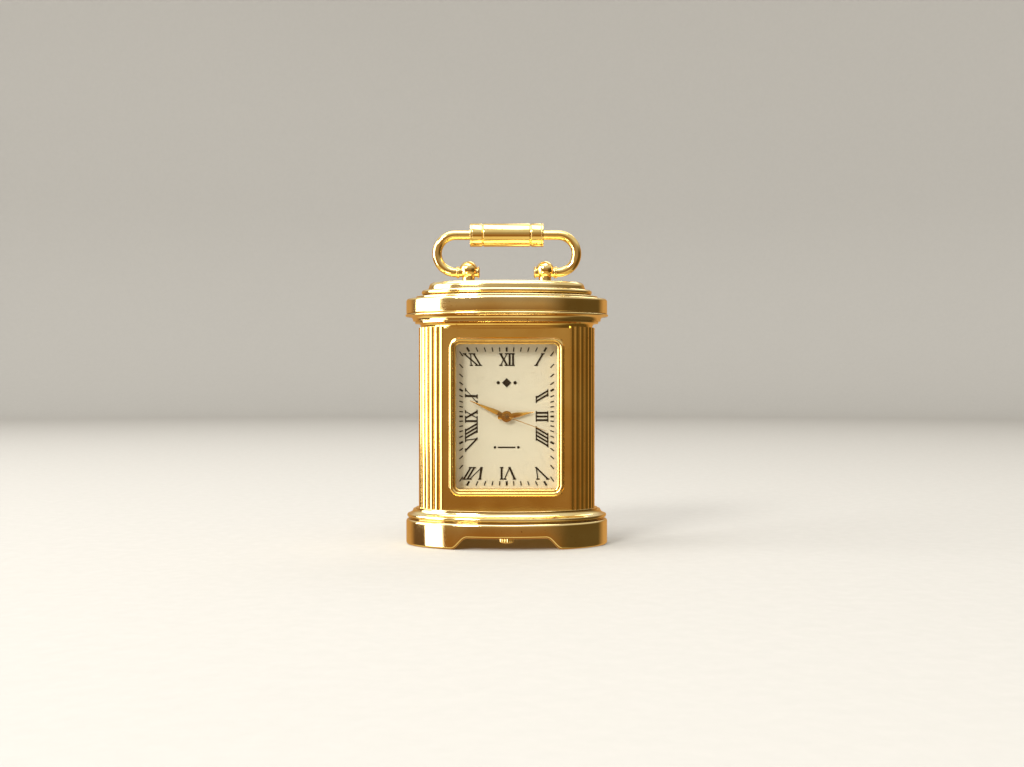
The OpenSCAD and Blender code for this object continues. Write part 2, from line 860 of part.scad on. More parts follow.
module hour_hand() {
    color("gold") hand(hour_angle, hour_hand_y, hour_hand_y + hand_t, 1.25, 0.8, 5.93, 0.55, 1.9, 0.45);
}

module third_wheel() {
    color("gold") train_wheel(third_at, 60, m_seconds, third_phase, arbor_r, train_y);
}

module third_pinion() {
    color("silver") {
        bar(third_at, arbor_r, plate_front + 0.2, bridge_back);
        pinion(third_at, 8, m_centre, third_phase, centre_wheel_y - 0.05, centre_wheel_y + 0.35);
    }
}

module fifth_wheel() {
    color("gold") train_wheel(fifth_at, 48, m_rotor, fifth_phase, arbor_r, train_y);
}

module fifth_pinion() {
    color("silver") {
        bar(fifth_at, arbor_r, plate_front + 0.2, bridge_back);
        pinion(fifth_at, 8, m_fifth, fifth_phase, second_wheel_y - 0.1, second_wheel_y + 0.25);
    }
}

module rotor_magnet() {
    color("dimgray") difference() {
        bar(rotor_at, rotor_r, plate_back + 0.03, plate_back + 0.38);
        bar(rotor_at, arbor_r, plate_back - 1, plate_back + 1);
    }
}

module rotor_pinion() {
    color("silver") {
        bar(rotor_at, arbor_r, plate_front + 0.2, bridge_back);
        pinion(rotor_at, 8, m_rotor, rotor_phase, rotor_mesh_y, rotor_mesh_y + 0.4);
    }
}

module minute_wheel() {
    color("gold") difference() {
        union() {
            layer(motion_y, motion_y + motion_t) translate(minute_at) gear(36, m_cannon, minute_phase);
            pinion(minute_at, 10, m_hour, 0, hour_wheel_y, motion_y);
        }
        bar(minute_at, 0.25 + play, -5, -2);
    }
}

module setting_wheel() {
    color("silver") difference() {
        layer(motion_y, motion_y + motion_t) translate(setting_at) gear(20, m_cannon, setting_phase);
        bar(setting_at, 0.25 + play, -5, -2);
    }
}

// ---------- setting work and crown ----------

clutch_top = dial_z - 6.7;
clutch_len = 1;
stem_square = 0.56;
stem_r = 0.4;
groove_z = dial_z + lever_at[1];
groove_half = 0.22;
crown_r = crown_d / 2;
crown_len = 1.7;
crown_dome_h = 0.2;
crown_dome_a = crown_r - 0.2;
crown_dome_r = (crown_dome_a * crown_dome_a + crown_dome_h * crown_dome_h) / (2 * crown_dome_h);

module clutch_wheel() {
    color("silver") translate([0, stem_y, clutch_top - clutch_len]) difference() {
        cylinder(r = 0.8, h = clutch_len);
        cube([stem_square + 0.06, stem_square + 0.06, 3 * clutch_len], center = true);
        for (i = [0:7]) rotate(45 * i + 22.5)
            translate([0.5, -0.12, clutch_len - 0.25]) cube([1, 0.24, 1]);
        translate([0, 0, 0.3]) difference() {
            cylinder(r = 1, h = 0.25);
            cylinder(r = 0.6, h = 0.25);
        }
    }
}

module stem() {
    square_top = dial_z - 6.2;
    round_top = clutch_top - clutch_len - 0.1;
    color("silver") translate([0, stem_y, 0]) {
        translate([-stem_square / 2, -stem_square / 2, round_top - 0.1])
            cube([stem_square, stem_square, square_top - round_top + 0.1]);
        translate([0, 0, groove_z + groove_half]) cylinder(r = stem_r, h = round_top - groove_z - groove_half);
        translate([0, 0, groove_z - groove_half - 0.1]) cylinder(r = 0.2, h = 2 * groove_half + 0.2);
        translate([0, 0, crown_gap + crown_len - 1])
            cylinder(r = stem_r, h = groove_z - groove_half - crown_gap - crown_len + 1);
    }
}

module setting_lever() {
    arm = lever_at[0];
    color("silver") difference() {
        union() {
            layer(plate_back + 0.1, plate_back + 0.3) {
                translate(lever_at) circle(0.6);
                translate(lever_at + [-arm - 0.2, -0.2]) square([arm + 0.2, 0.4]);
            }
            bar(lever_at - [arm, 0], 0.15, plate_back - 0.12, plate_back + 0.2);
        }
        bar(lever_at, 0.3 + play, plate_back - 1, plate_back + 1);
    }
}

module crown() {
    flutes = 18;
    color("gold") translate([0, stem_y, crown_gap]) difference() {
        union() {
            translate([0, 0, crown_dome_h]) cylinder(r = crown_r, h = crown_len - crown_dome_h);
            difference() {
                translate([0, 0, crown_dome_r]) sphere(crown_dome_r, $fn = 96);
                translate([-6, -6, crown_dome_h + 0.01]) cube([12, 12, 12]);
            }
        }
        for (i = [0:flutes - 1]) rotate(360 / flutes * i)
            translate([crown_r + 0.08, 0, -1]) cylinder(r = 0.22, h = crown_len + 2);
        translate([0, 0, crown_len - 1]) cylinder(r = stem_r, h = 2);
    }
}

base_plinth();
case_body();
cornice();
bezel();
crystal();
dial_spacer();
dial_plate();
dial_markings();
movement_holder();
rear_cover();
rear_cover_screws();
case_screws();
handle_post_left();
handle_post_right();
post_nuts();
handle_bail();
grip_tube();
grip_caps();
main_plate();
train_bridge();
bridge_screws();
stator();
coil_core();
coil();
circuit_board();
circuit_chip();
quartz_crystal();
battery();
battery_strap();
dial_washer();
second_wheel();
second_arbor();
second_hand();
centre_wheel();
cannon_pinion();
minute_hand();
hour_wheel();
hour_hand();
third_wheel();
third_pinion();
fifth_wheel();
fifth_pinion();
rotor_magnet();
rotor_pinion();
minute_wheel();
setting_wheel();
setting_lever();
clutch_wheel();
stem();
crown();
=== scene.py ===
import math

import bmesh
import bpy
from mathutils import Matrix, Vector


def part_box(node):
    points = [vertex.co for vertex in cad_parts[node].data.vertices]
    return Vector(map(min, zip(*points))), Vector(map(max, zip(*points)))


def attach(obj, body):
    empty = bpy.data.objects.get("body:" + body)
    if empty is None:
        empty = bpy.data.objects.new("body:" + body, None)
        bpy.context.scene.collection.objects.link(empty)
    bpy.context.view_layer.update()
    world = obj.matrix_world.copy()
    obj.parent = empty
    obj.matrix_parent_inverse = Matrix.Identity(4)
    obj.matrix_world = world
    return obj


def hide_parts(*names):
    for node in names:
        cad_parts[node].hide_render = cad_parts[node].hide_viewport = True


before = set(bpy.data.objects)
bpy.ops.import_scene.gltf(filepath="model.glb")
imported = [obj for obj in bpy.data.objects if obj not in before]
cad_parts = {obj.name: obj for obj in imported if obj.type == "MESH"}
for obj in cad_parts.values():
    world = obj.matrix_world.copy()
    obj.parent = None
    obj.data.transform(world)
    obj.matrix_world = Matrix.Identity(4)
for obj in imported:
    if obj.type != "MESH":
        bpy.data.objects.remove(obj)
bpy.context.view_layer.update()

# ---------- sizes, in millimetres ----------
# A size that shows in the box of a CAD node is read from that box in model.glb. The others repeat
# the CAD's.
# Names end in _A for a half width, _C for a half height, _R for a radius and _T for a thickness.

MM = 0.001
X, Y, Z = 0, 1, 2


def low(node, axis):
    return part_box(node)[0][axis] / MM


def high(node, axis):
    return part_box(node)[1][axis] / MM


def middle(node, axis):
    return (low(node, axis) + high(node, axis)) / 2


def half(node, axis):
    return (high(node, axis) - low(node, axis)) / 2


# Every oval is less deep than wide by the same amount. CORE_A is the least half width in use.
BAND_A = high("base_plinth", X)
OVAL_DROP = BAND_A - high("base_plinth", Y)
CORE_A = OVAL_DROP + 0.1
BODY_A = high("case_body", X)
LIP_A = high("cornice", X)
BAND_EDGE_R = 0.6

BASE_TOP = high("base_plinth", Z)
BODY_TOP = high("case_body", Z)
CORNICE_TOP = high("cornice", Z)
BASE_WALL = 1.5
DECK_Z = 5.0
BASE_BAND_TOP = 5.5
OGEE_R, OGEE_Z = 0.5, 6.25
BASE_COVE_R, BASE_COVE_Z = 1.05, 7.75
FOOT_R = 0.55
ARCH_H = 2.42
ARCH_TOP_A = 8.2
ARCH_FOOT_A = 11.6

PANEL_A = 13.8
PANEL_Y = -high("crystal", Y) + 0.3
PANEL_INNER = high("bezel", Y)
PANEL_TOP = BODY_TOP - 0.9
CAVITY_A = 12.3
REAR_OPENING = (8, 12.5)
REED_R = 1.14
REED_COUNT = 13

CORNICE_COVE_R = 1.15
CORNICE_LIP_R = 0.25
CORNICE_BAND = (BODY_TOP + 2.02, BODY_TOP + 5.35)
CORNICE_BEAD_R = 0.55
CORNICE_CROWN_R = 1.1

DIAL_Z = middle("bezel", Z)
BEZEL_A = high("bezel", X)
BEZEL_C = high("bezel", Z) - DIAL_Z
BEZEL_W = 1.5
BEZEL_CORNER_R = 1.65

COVER_A = high("rear_cover", X)
COVER_C = half("rear_cover", Z)
COVER_Y = high("rear_cover", Y)
COVER_CORNER_R = 1.5
SCREW_Y = high("rear_cover_screws", Y)
SCREW_R = 0.85
SCREW_IN = 1.4
SLOT_HALF = 0.11
SLOT_DEPTH = 0.22

GRIP_R = half("grip_tube", Z)
GRIP_Z = middle("grip_tube", Z)
GRIP_HALF = high("grip_caps", X)
TUBE_HALF = high("grip_tube", X)
BAIL_A = high("handle_bail", X)
WIRE_R = 1.05
COLLAR_R = WIRE_R + 0.25
COLLAR_GAP = 0.05
COLLAR_T = 0.6
BUTTON_T = 0.4
POST_X = middle("handle_post_right", X)
POST_R = 1.35
BALL_R = 1.95
BALL_Z = high("handle_post_right", Z) - BALL_R
PIVOT_Z = low("handle_bail", Z) + COLLAR_R
BORE_PLAY = 0.03

CROWN_Z = low("crown", Z)
CROWN_TOP = high("crown", Z)
CROWN_R = high("crown", X)
CROWN_CORE_R = 1.45
CROWN_FLUTES = 18
STEM_Y = middle("crown", Y)
STEM_HOLE_R = 0.6

# How far the ink of the dial marks spreads to each side
INK_SPREAD = 0.06

# What the hour hand's hub is bored for is the hour wheel's pipe, and the minute hand's the cannon
# pinion. The angles are degrees clockwise from twelve.
HOUR_BORE_R = 0.8
MINUTE_BORE_R = 0.5
HOUR_ANGLE = 80.9
MINUTE_ANGLE = 293.4
SECOND_ANGLE = 109.9

# Where the camera is, and the lens that fills its view with the clock from there
VIEW_FROM = (1.14, -260, 34.64)
LENS, SENSOR = 42.05, 36

# Facets round the ovals and each reed, and the angles above which an edge is shaded sharp
OVAL_STEPS = 360
REED_STEPS = 14
SHARP = math.radians(34)
RIDGE = math.radians(20)


# ---------- mesh helpers ----------

def tidy(mesh, sharp=SHARP):
    """Turns every face outwards and shades smooth up to the sharp angle."""
    work = bmesh.new()
    work.from_mesh(mesh)
    bmesh.ops.remove_doubles(work, verts=work.verts, dist=1e-7)
    bmesh.ops.recalc_face_normals(work, faces=work.faces)
    work.to_mesh(mesh)
    work.free()
    mesh.shade_smooth()
    mesh.set_sharp_from_angle(angle=sharp)


def new_object(name, shape, sharp=SHARP):
    """A smooth-shaded object from (points in millimetres, faces)."""
    verts, faces = shape
    mesh = bpy.data.meshes.new(name)
    mesh.from_pydata([Vector(v) * MM for v in verts], [], faces)
    tidy(mesh, sharp)
    item = bpy.data.objects.new(name, mesh)
    bpy.context.scene.collection.objects.link(item)
    return item


def make_piece(name, shape, material, body, node, sharp=SHARP):
    """A piece that rides on a body, stands for a CAD node and takes its finish from a slot."""
    piece = new_object(name, shape, sharp)
    piece.data.materials.append(material)
    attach(piece, body)
    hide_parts(node)
    return piece


def loft(rings, closed_path=True, closed_profile=False, caps=True):
    """Joins rings of equal length, quad by quad. Caps close the ends that are left open."""
    count, size = len(rings), len(rings[0])
    verts = [p for ring in rings for p in ring]
    faces = []
    for i in range(count if closed_path else count - 1):
        here, there = i * size, (i + 1) % count * size
        for j in range(size if closed_profile else size - 1):
            k = (j + 1) % size
            faces.append((here + j, here + k, there + k, there + j))
    if caps and closed_path and not closed_profile:
        faces.append(tuple(i * size for i in range(count)))
        faces.append(tuple(i * size + size - 1 for i in reversed(range(count))))
    if caps and not closed_path:
        faces.append(tuple(reversed(range(size))))
        faces.append(tuple(range((count - 1) * size, count * size)))
    return verts, faces


def stack(rings):
    """A solid between its first and last rings."""
    return loft(rings, closed_path=False, closed_profile=True)


def join(*shapes):
    """Several shapes as one."""
    verts, faces = [], []
    for shape_verts, shape_faces in shapes:
        start = len(verts)
        verts += shape_verts
        faces += [tuple(start + i for i in face) for face in shape_faces]
    return verts, faces


def arc(cx, cy, r, start, end, steps):
    """Points along an arc, angles in degrees."""
    return [
        (cx + r * math.cos(math.radians(a)), cy + r * math.sin(math.radians(a)))
        for a in (start + (end - start) * i / steps for i in range(steps + 1))
    ]


def eased(points, r, steps=3):
    """An open outline with each inner corner rounded to radius r or what its sides allow."""
    nearly_straight, most_of_a_side = math.radians(160), 0.45
    out = [points[0]]
    for before, corner, after in zip(points, points[1:], points[2:]):
        here = Vector(corner)
        back, ahead = Vector(before) - here, Vector(after) - here
        turn = back.angle(ahead, math.pi)
        if turn > nearly_straight:
            out.append(corner)
            continue
        room = most_of_a_side * min(back.length, ahead.length)
        reach = min(r / math.tan(turn / 2), room)
        start, end = here + back.normalized() * reach, here + ahead.normalized() * reach
        for i in range(steps + 1):
            u = i / steps
            out.append(tuple(start * (1 - u) ** 2 + here * 2 * u * (1 - u) + end * u * u))
    out.append(points[-1])
    return out


def oval_point(t, a):
    """A point of the oval of half width a, t in radians from +X."""
    return a * math.cos(t), (a - OVAL_DROP) * math.sin(t)


def oval_place(t, a, z):
    return (*oval_point(t, a), z)


def oval_sweep(profile, place=oval_place, steps=OVAL_STEPS, closed=False):
    """Carries a profile of (half width, z) round the oval. place says where each point goes."""
    turns = (2 * math.pi * i / steps for i in range(steps))
    return loft([[place(t, a, z) for a, z in profile] for t in turns], closed_profile=closed)


def lathe(profile, centre, axis=Z, steps=64):
    """Turns a profile of (radius, along) about an axis through centre."""
    rings = []
    for i in range(steps):
        turn = 2 * math.pi * i / steps
        ring = []
        for r, along in profile:
            point = list(centre)
            point[axis] += along
            point[(axis + 1) % 3] += r * math.cos(turn)
            point[(axis + 2) % 3] += r * math.sin(turn)
            ring.append(tuple(point))
        rings.append(ring)
    return loft(rings)


def drill(r, start, end, centre, axis=Z, steps=48):
    """A round bar to cut a hole with, along the axis from start to end."""
    return lathe([(r, start), (r, end)], centre, axis, steps)


def tube(path, r, steps=24):
    """A round bar along a path in the XZ plane."""
    rings = []
    for i, (x, z) in enumerate(path):
        before, after = path[max(i - 1, 0)], path[min(i + 1, len(path) - 1)]
        along = Vector((after[0] - before[0], after[1] - before[1])).normalized()
        ring = []
        for j in range(steps):
            turn = 2 * math.pi * j / steps
            across = r * math.cos(turn)
            ring.append((x - along.y * across, r * math.sin(turn), z + along.x * across))
        rings.append(ring)
    return stack(rings)


def frame_path(a, c, r, corner_steps=10):
    """A rectangle with round corners in the dial plane: (x, z, outward x, outward z)."""
    path = []
    corners = ((a - r, c - r, 0), (r - a, c - r, 90), (r - a, r - c, 180), (a - r, r - c, 270))
    for cx, cz, start in corners:
        for i in range(corner_steps + 1):
            angle = math.radians(start + 90 * i / corner_steps)
            nx, nz = math.cos(angle), math.sin(angle)
            path.append((cx + r * nx, cz + r * nz, nx, nz))
    return path


def frame_sweep(a, c, r, profile):
    """Carries a closed profile of (outward, y) round a rectangle about the dial centre."""
    rings = [
        [(x + nx * out, y, DIAL_Z + z + nz * out) for out, y in profile]
        for x, z, nx, nz in frame_path(a, c, r)
    ]
    return loft(rings, closed_profile=True)


def block(start, end):
    """A closed box, as a cutter."""
    (x0, y0, z0), (x1, y1, z1) = start, end
    outline = [(x0, y0), (x1, y0), (x1, y1), (x0, y1)]
    return stack([[(x, y, z) for x, y in outline] for z in (z0, z1)])


def cut(piece, cutter_shape, overlapping=False, sharp=SHARP):
    """Subtracts a closed solid. overlapping says that solids of the piece overlap each other."""
    cutter = new_object("cutter", cutter_shape)
    modifier = piece.modifiers.new("cut", "BOOLEAN")
    modifier.operation, modifier.solver, modifier.object = "DIFFERENCE", "EXACT", cutter
    modifier.use_self = overlapping
    bpy.context.view_layer.update()
    evaluated = piece.evaluated_get(bpy.context.evaluated_depsgraph_get())
    result = bpy.data.meshes.new_from_object(evaluated)
    piece.modifiers.clear()
    piece.data = result
    tidy(result, sharp)
    spent = cutter.data
    bpy.data.objects.remove(cutter)
    bpy.data.meshes.remove(spent)


# ---------- materials ----------

def new_material(name):
    """A new material's data, its node tree and its shader."""
    material = bpy.data.materials.new(name)
    material.use_nodes = True
    return material, material.node_tree, material.node_tree.nodes["Principled BSDF"]


def noise(tree, scale, detail=3.0, stretch=(1, 1, 1)):
    """Noise in the piece's own coordinates, scale in cycles a metre."""
    coordinates = tree.nodes.new("ShaderNodeTexCoord")
    mapping = tree.nodes.new("ShaderNodeMapping")
    mapping.inputs["Scale"].default_value = stretch
    texture = tree.nodes.new("ShaderNodeTexNoise")
    texture.inputs["Scale"].default_value = scale
    texture.inputs["Detail"].default_value = detail
    tree.links.new(coordinates.outputs["Object"], mapping.inputs["Vector"])
    tree.links.new(mapping.outputs["Vector"], texture.inputs["Vector"])
    return texture.outputs["Fac"]


def ramp(tree, value, start, end, dark, light):
    """Maps a value between start and end onto two colours or two numbers."""
    node = tree.nodes.new("ShaderNodeMapRange")
    tree.links.new(value, node.inputs["Value"])
    node.inputs["From Min"].default_value = start
    node.inputs["From Max"].default_value = end
    if not isinstance(dark, tuple):
        node.inputs["To Min"].default_value = dark
        node.inputs["To Max"].default_value = light
        return node.outputs["Result"]
    mix = tree.nodes.new("ShaderNodeMix")
    mix.data_type = "RGBA"
    mix.inputs["A"].default_value = (*dark, 1)
    mix.inputs["B"].default_value = (*light, 1)
    tree.links.new(node.outputs["Result"], mix.inputs["Factor"])
    return mix.outputs["Result"]


def maths(tree, operation, value, other):
    """One step of arithmetic. other is a number or another socket."""
    node = tree.nodes.new("ShaderNodeMath")
    node.operation = operation
    tree.links.new(value, node.inputs[0])
    if isinstance(other, (int, float)):
        node.inputs[1].default_value = other
    else:
        tree.links.new(other, node.inputs[1])
    return node.outputs["Value"]


def multiply(tree, colour, factor_colour):
    mix = tree.nodes.new("ShaderNodeMix")
    mix.data_type, mix.blend_type = "RGBA", "MULTIPLY"
    mix.inputs["Factor"].default_value = 1
    tree.links.new(colour, mix.inputs["A"])
    tree.links.new(factor_colour, mix.inputs["B"])
    return mix.outputs["Result"]


def add_bump(tree, shader, height, depth, strength, after=None):
    """Bump of a depth in millimetres, on top of an earlier one."""
    bump = tree.nodes.new("ShaderNodeBump")
    bump.inputs["Distance"].default_value = depth * MM
    bump.inputs["Strength"].default_value = strength
    tree.links.new(height, bump.inputs["Height"])
    if after is not None:
        tree.links.new(after, bump.inputs["Normal"])
    tree.links.new(bump.outputs["Normal"], shader.inputs["Normal"])
    return bump.outputs["Normal"]


def shaded(colour, factor):
    return tuple(c * factor for c in colour)


def gold(name, colour, rough=(0.07, 0.15), pits=0.74, grime_and_shade=0.5):
    """Polished gold plate: cloudy polish, fine scratches, a few pits, and grime with painted shade
    darkening the creases.
    """
    material, tree, shader = new_material(name)
    shader.inputs["Metallic"].default_value = 1
    red, green, blue = colour
    worn = (red * 0.92, green * 0.84, blue * 0.70)
    clouds = ramp(tree, noise(tree, 140, 5), 0.35, 0.65, worn, colour)
    spots = ramp(tree, noise(tree, 1500, 1), pits, pits + 0.04, (1, 1, 1), (0.6, 0.45, 0.3))
    pitted = multiply(tree, clouds, spots)
    # Ambient occlusion darkens the colour in creases and gaps: partly grime, partly painted shade
    # where the creases fall dark
    crease = tree.nodes.new("ShaderNodeAmbientOcclusion")
    crease.samples = 6
    crease.only_local = True
    crease.inputs["Distance"].default_value = 0.7 * MM
    grime_and_shade_tint = (grime_and_shade, grime_and_shade * 0.8, grime_and_shade * 0.5)
    grime_and_painted_shade = ramp(tree, crease.outputs["AO"], 0.25, 0.9, grime_and_shade_tint, (1, 1, 1))
    tree.links.new(multiply(tree, pitted, grime_and_painted_shade), shader.inputs["Base Color"])
    smears = noise(tree, 260, 4, (1, 1, 0.35))
    tree.links.new(ramp(tree, smears, 0.3, 0.75, *rough), shader.inputs["Roughness"])
    waves = add_bump(tree, shader, noise(tree, 420, 2), 0.02, 0.35)
    scratches = noise(tree, 2600, 2, (1, 1, 0.06))
    add_bump(tree, shader, scratches, 0.004, 0.5, waves)
    return material


def metal(name, colour, rough, grain=(1, 1, 1), scale=3000, depth=0.004):
    """Plain turned or brushed metal with grain along one direction."""
    material, tree, shader = new_material(name)
    shader.inputs["Metallic"].default_value = 1
    clouds = ramp(tree, noise(tree, 300, 4), 0.3, 0.7, shaded(colour, 0.82), colour)
    tree.links.new(clouds, shader.inputs["Base Color"])
    brushed = noise(tree, scale, 2, grain)
    uneven = ramp(tree, brushed, 0.3, 0.7, rough * 0.8, rough * 1.3)
    tree.links.new(uneven, shader.inputs["Roughness"])
    add_bump(tree, shader, brushed, depth, 0.6)
    return material


def coated(name, colour, rough, scale=2500, depth=0.003, spread=0.06, gloss=0.5):
    """Paint, plastic or resin: a fine surface and slight changes of shade."""
    material, tree, shader = new_material(name)
    shader.inputs["Specular IOR Level"].default_value = gloss
    clouds = ramp(tree, noise(tree, 220, 4), 0.3, 0.7, shaded(colour, 1 - spread), colour)
    tree.links.new(clouds, shader.inputs["Base Color"])
    fine = noise(tree, scale, 2)
    uneven = ramp(tree, fine, 0.3, 0.7, rough * 0.85, rough * 1.15)
    tree.links.new(uneven, shader.inputs["Roughness"])
    add_bump(tree, shader, fine, depth, 0.5)
    return material


def clear_pane(name):
    """Flat glass: clear, with smudged reflections that grow towards a glancing view."""
    head_on, power = 0.035, 5
    material, tree, shader = new_material(name)
    tree.nodes.remove(shader)
    clear = tree.nodes.new("ShaderNodeBsdfTransparent")
    clear.inputs["Color"].default_value = (0.97, 0.975, 0.96, 1)
    gloss = tree.nodes.new("ShaderNodeBsdfGlossy")
    gloss.inputs["Color"].default_value = (1, 1, 1, 1)
    smudges = ramp(tree, noise(tree, 180, 3), 0.4, 0.7, 0.02, 0.07)
    tree.links.new(smudges, gloss.inputs["Roughness"])
    slant = tree.nodes.new("ShaderNodeLayerWeight")
    slant.inputs["Blend"].default_value = 0.5
    glancing = maths(tree, "POWER", slant.outputs["Facing"], power)
    mix = tree.nodes.new("ShaderNodeMixShader")
    tree.links.new(ramp(tree, glancing, 0, 1, head_on, 1.0), mix.inputs["Fac"])
    tree.links.new(clear.outputs["BSDF"], mix.inputs[1])
    tree.links.new(gloss.outputs["BSDF"], mix.inputs[2])
    tree.links.new(mix.outputs["Shader"], tree.nodes["Material Output"].inputs["Surface"])
    return material


# Cast and pressed gilt
GOLD = gold("gilt_body", (0.96, 0.70, 0.25))
GOLD_BAND = gold("gilt_bands", (0.96, 0.78, 0.40))
GOLD_TRIM = gold("gilt_trim", (0.97, 0.75, 0.32), (0.05, 0.12), 0.76, 0.6)
GOLD_SATIN = gold("spacer_gilt", (0.86, 0.62, 0.22), (0.3, 0.42), 0.78, 0.7)
GOLD_HAND = gold("hand_gilt", (0.84, 0.50, 0.13), (0.14, 0.24), 0.78, 0.8)
GOLD_NEEDLE = gold("needle_gilt", (0.46, 0.26, 0.08), (0.3, 0.4), 0.78, 0.8)

# Dial
GLASS = clear_pane("crystal_glass")
CREAM = coated("dial_cream", (0.69, 0.62, 0.485), 0.5, spread=0.04, gloss=0.3)
INK = coated("dial_ink", (0.012, 0.006, 0.003), 0.8, spread=0.3, gloss=0.15)

# Movement
PLASTIC = coated("holder_plastic", (0.78, 0.78, 0.75), 0.5, 1600, 0.006)
STEEL = metal("screw_steel", (0.62, 0.62, 0.62), 0.26)
PLATE = metal("plate_brass", (0.70, 0.58, 0.34), 0.38)
BRIDGE = metal("bridge_steel", (0.60, 0.60, 0.61), 0.3, (1, 1, 0.05))
CORE = metal("core_steel", (0.32, 0.32, 0.33), 0.4)
COPPER = metal("coil_copper", (0.72, 0.30, 0.12), 0.3, (1, 0.1, 0.1), 9000, 0.02)
BOARD = coated("board_resin", (0.03, 0.16, 0.07), 0.25, 1800, 0.004, 0.25)
RESIN = coated("chip_resin", (0.012, 0.012, 0.013), 0.22, 700, 0.01, 0.3)
CAN = metal("can_metal", (0.68, 0.68, 0.69), 0.18)
BATTERY = metal("battery_steel", (0.66, 0.66, 0.65), 0.2, (0.1, 1, 1))
WHEEL = metal("wheel_brass", (0.80, 0.58, 0.24), 0.26)
PINION = metal("pinion_steel", (0.56, 0.56, 0.58), 0.2)
MAGNET = metal("magnet", (0.14, 0.14, 0.15), 0.45, scale=1500, depth=0.01)


def dress(material, *nodes):
    """Gives carried-over CAD nodes their material."""
    for name in nodes:
        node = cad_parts[name]
        node.data.materials.clear()
        node.data.materials.append(material)


def print_bolder(node, spread):
    """Lets printed marks spread a little on every side, as thick ink does."""
    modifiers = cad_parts[node].modifiers
    modifiers.new("joined", "WELD").merge_threshold = 0.001 * MM
    grown = modifiers.new("spread", "DISPLACE")
    grown.strength, grown.mid_level = spread * math.sqrt(3) * MM, 0


# ---------- case ----------

def arch_edge(x):
    """Height and slope of the lower edge of the base at a place along X."""
    reach = abs(x)
    if reach >= ARCH_FOOT_A:
        return 0, 0
    if reach <= ARCH_TOP_A:
        return ARCH_H, 0
    width = ARCH_FOOT_A - ARCH_TOP_A
    angle = math.pi * (reach - ARCH_TOP_A) / width
    slope = ARCH_H * math.pi * math.sin(angle) / 2 / width
    return ARCH_H * (1 + math.cos(angle)) / 2, math.copysign(slope, -x)


def foot_place(t, a, z):
    """Carries the rounded foot along the arch, square to its edge; higher points stay level."""
    x, y = oval_point(t, a)
    if z > FOOT_R:
        return x, y, z
    height, slope = arch_edge(x)
    tilt = math.hypot(1, slope)
    moved = x - slope / tilt * z
    side = (a - OVAL_DROP) * math.sqrt(max(0, 1 - (moved / a) ** 2))
    return moved, math.copysign(side, y), height + z / tilt


def base_plinth():
    """Hollow below its deck; a band with a rounded foot, a groove, an ogee and a cove."""
    inner = BAND_A - BASE_WALL
    edge_z = BASE_BAND_TOP - BAND_EDGE_R
    under = [
        (CORE_A, DECK_Z), (inner - 0.3, DECK_Z), (inner, DECK_Z - 0.3), (inner, 0.3),
        (inner + 0.1, 0.06), (inner + 0.3, 0),
    ]
    band = arc(BAND_A - FOOT_R, FOOT_R, FOOT_R, -90, 0, 8) + [(BAND_A, edge_z)]
    band += arc(BAND_A - BAND_EDGE_R, edge_z, BAND_EDGE_R, 8, 86, 8)
    ogee = arc(BAND_A - 0.72, OGEE_Z, OGEE_R, -75, 35, 8)
    groove = [(BAND_A - 0.82, BASE_BAND_TOP - 0.02), (BAND_A - 0.85, BASE_BAND_TOP + 0.22)]
    cove = arc(BAND_A - 0.5, BASE_COVE_Z, BASE_COVE_R, 258, 190, 8)
    top = [(BODY_A + 0.58, BASE_TOP - 0.28), (BODY_A + 0.6, BASE_TOP), (CORE_A, BASE_TOP)]
    profile = under + band + eased([band[-1], *groove, ogee[0]], 0.08)[1:-1]
    profile += ogee + cove + eased(top, 0.08)
    shape = oval_sweep(profile, foot_place, 2 * OVAL_STEPS)
    piece = make_piece("base_casting", shape, GOLD_BAND, "case", "base_plinth")
    cut(piece, drill(STEM_HOLE_R, DECK_Z - 1, BASE_TOP + 1, (0, STEM_Y, 0), steps=64))


def oval_speed(t):
    return math.hypot(BODY_A * math.sin(t), (BODY_A - OVAL_DROP) * math.cos(t))


def reed_angles():
    """The oval angles at the middles of one column's reeds, equal steps apart along the surface."""
    start, steps = math.acos((PANEL_A - 0.35) / BODY_A), 2000
    width = 2 * start / steps
    runs = [0]
    for i in range(steps):
        runs.append(runs[-1] + oval_speed(start - width * (i + 0.5)) * width)
    angles, i = [], 0
    for reed in range(REED_COUNT):
        target = runs[-1] * (reed + 0.5) / REED_COUNT
        while runs[i] < target:
            i += 1
        angles.append(start - width * i)
    return angles


def reed_outline():
    """The right-hand column's outline: reed after reed, from the front panel to the back panel."""
    centres = [oval_point(t, BODY_A - REED_R) for t in reed_angles()]

    def reed(centre, start, end):
        while end > start:
            end -= 360
        return arc(*centre, REED_R, start, end, REED_STEPS)

    def panel_meeting(centre):
        return math.degrees(math.acos((PANEL_A - centre[0]) / REED_R))

    points, start = [], panel_meeting(centres[0])
    for centre, following in zip(centres, centres[1:]):
        dx, dy = following[0] - centre[0], following[1] - centre[1]
        along = math.degrees(math.atan2(dy, dx))
        spread = math.degrees(math.acos(math.hypot(dx, dy) / 2 / REED_R))
        points += reed(centre, start, along + spread)
        start = along + 180 - spread
        while start < -90:
            start += 360
    return points + reed(centres[-1], start, -panel_meeting(centres[-1]))


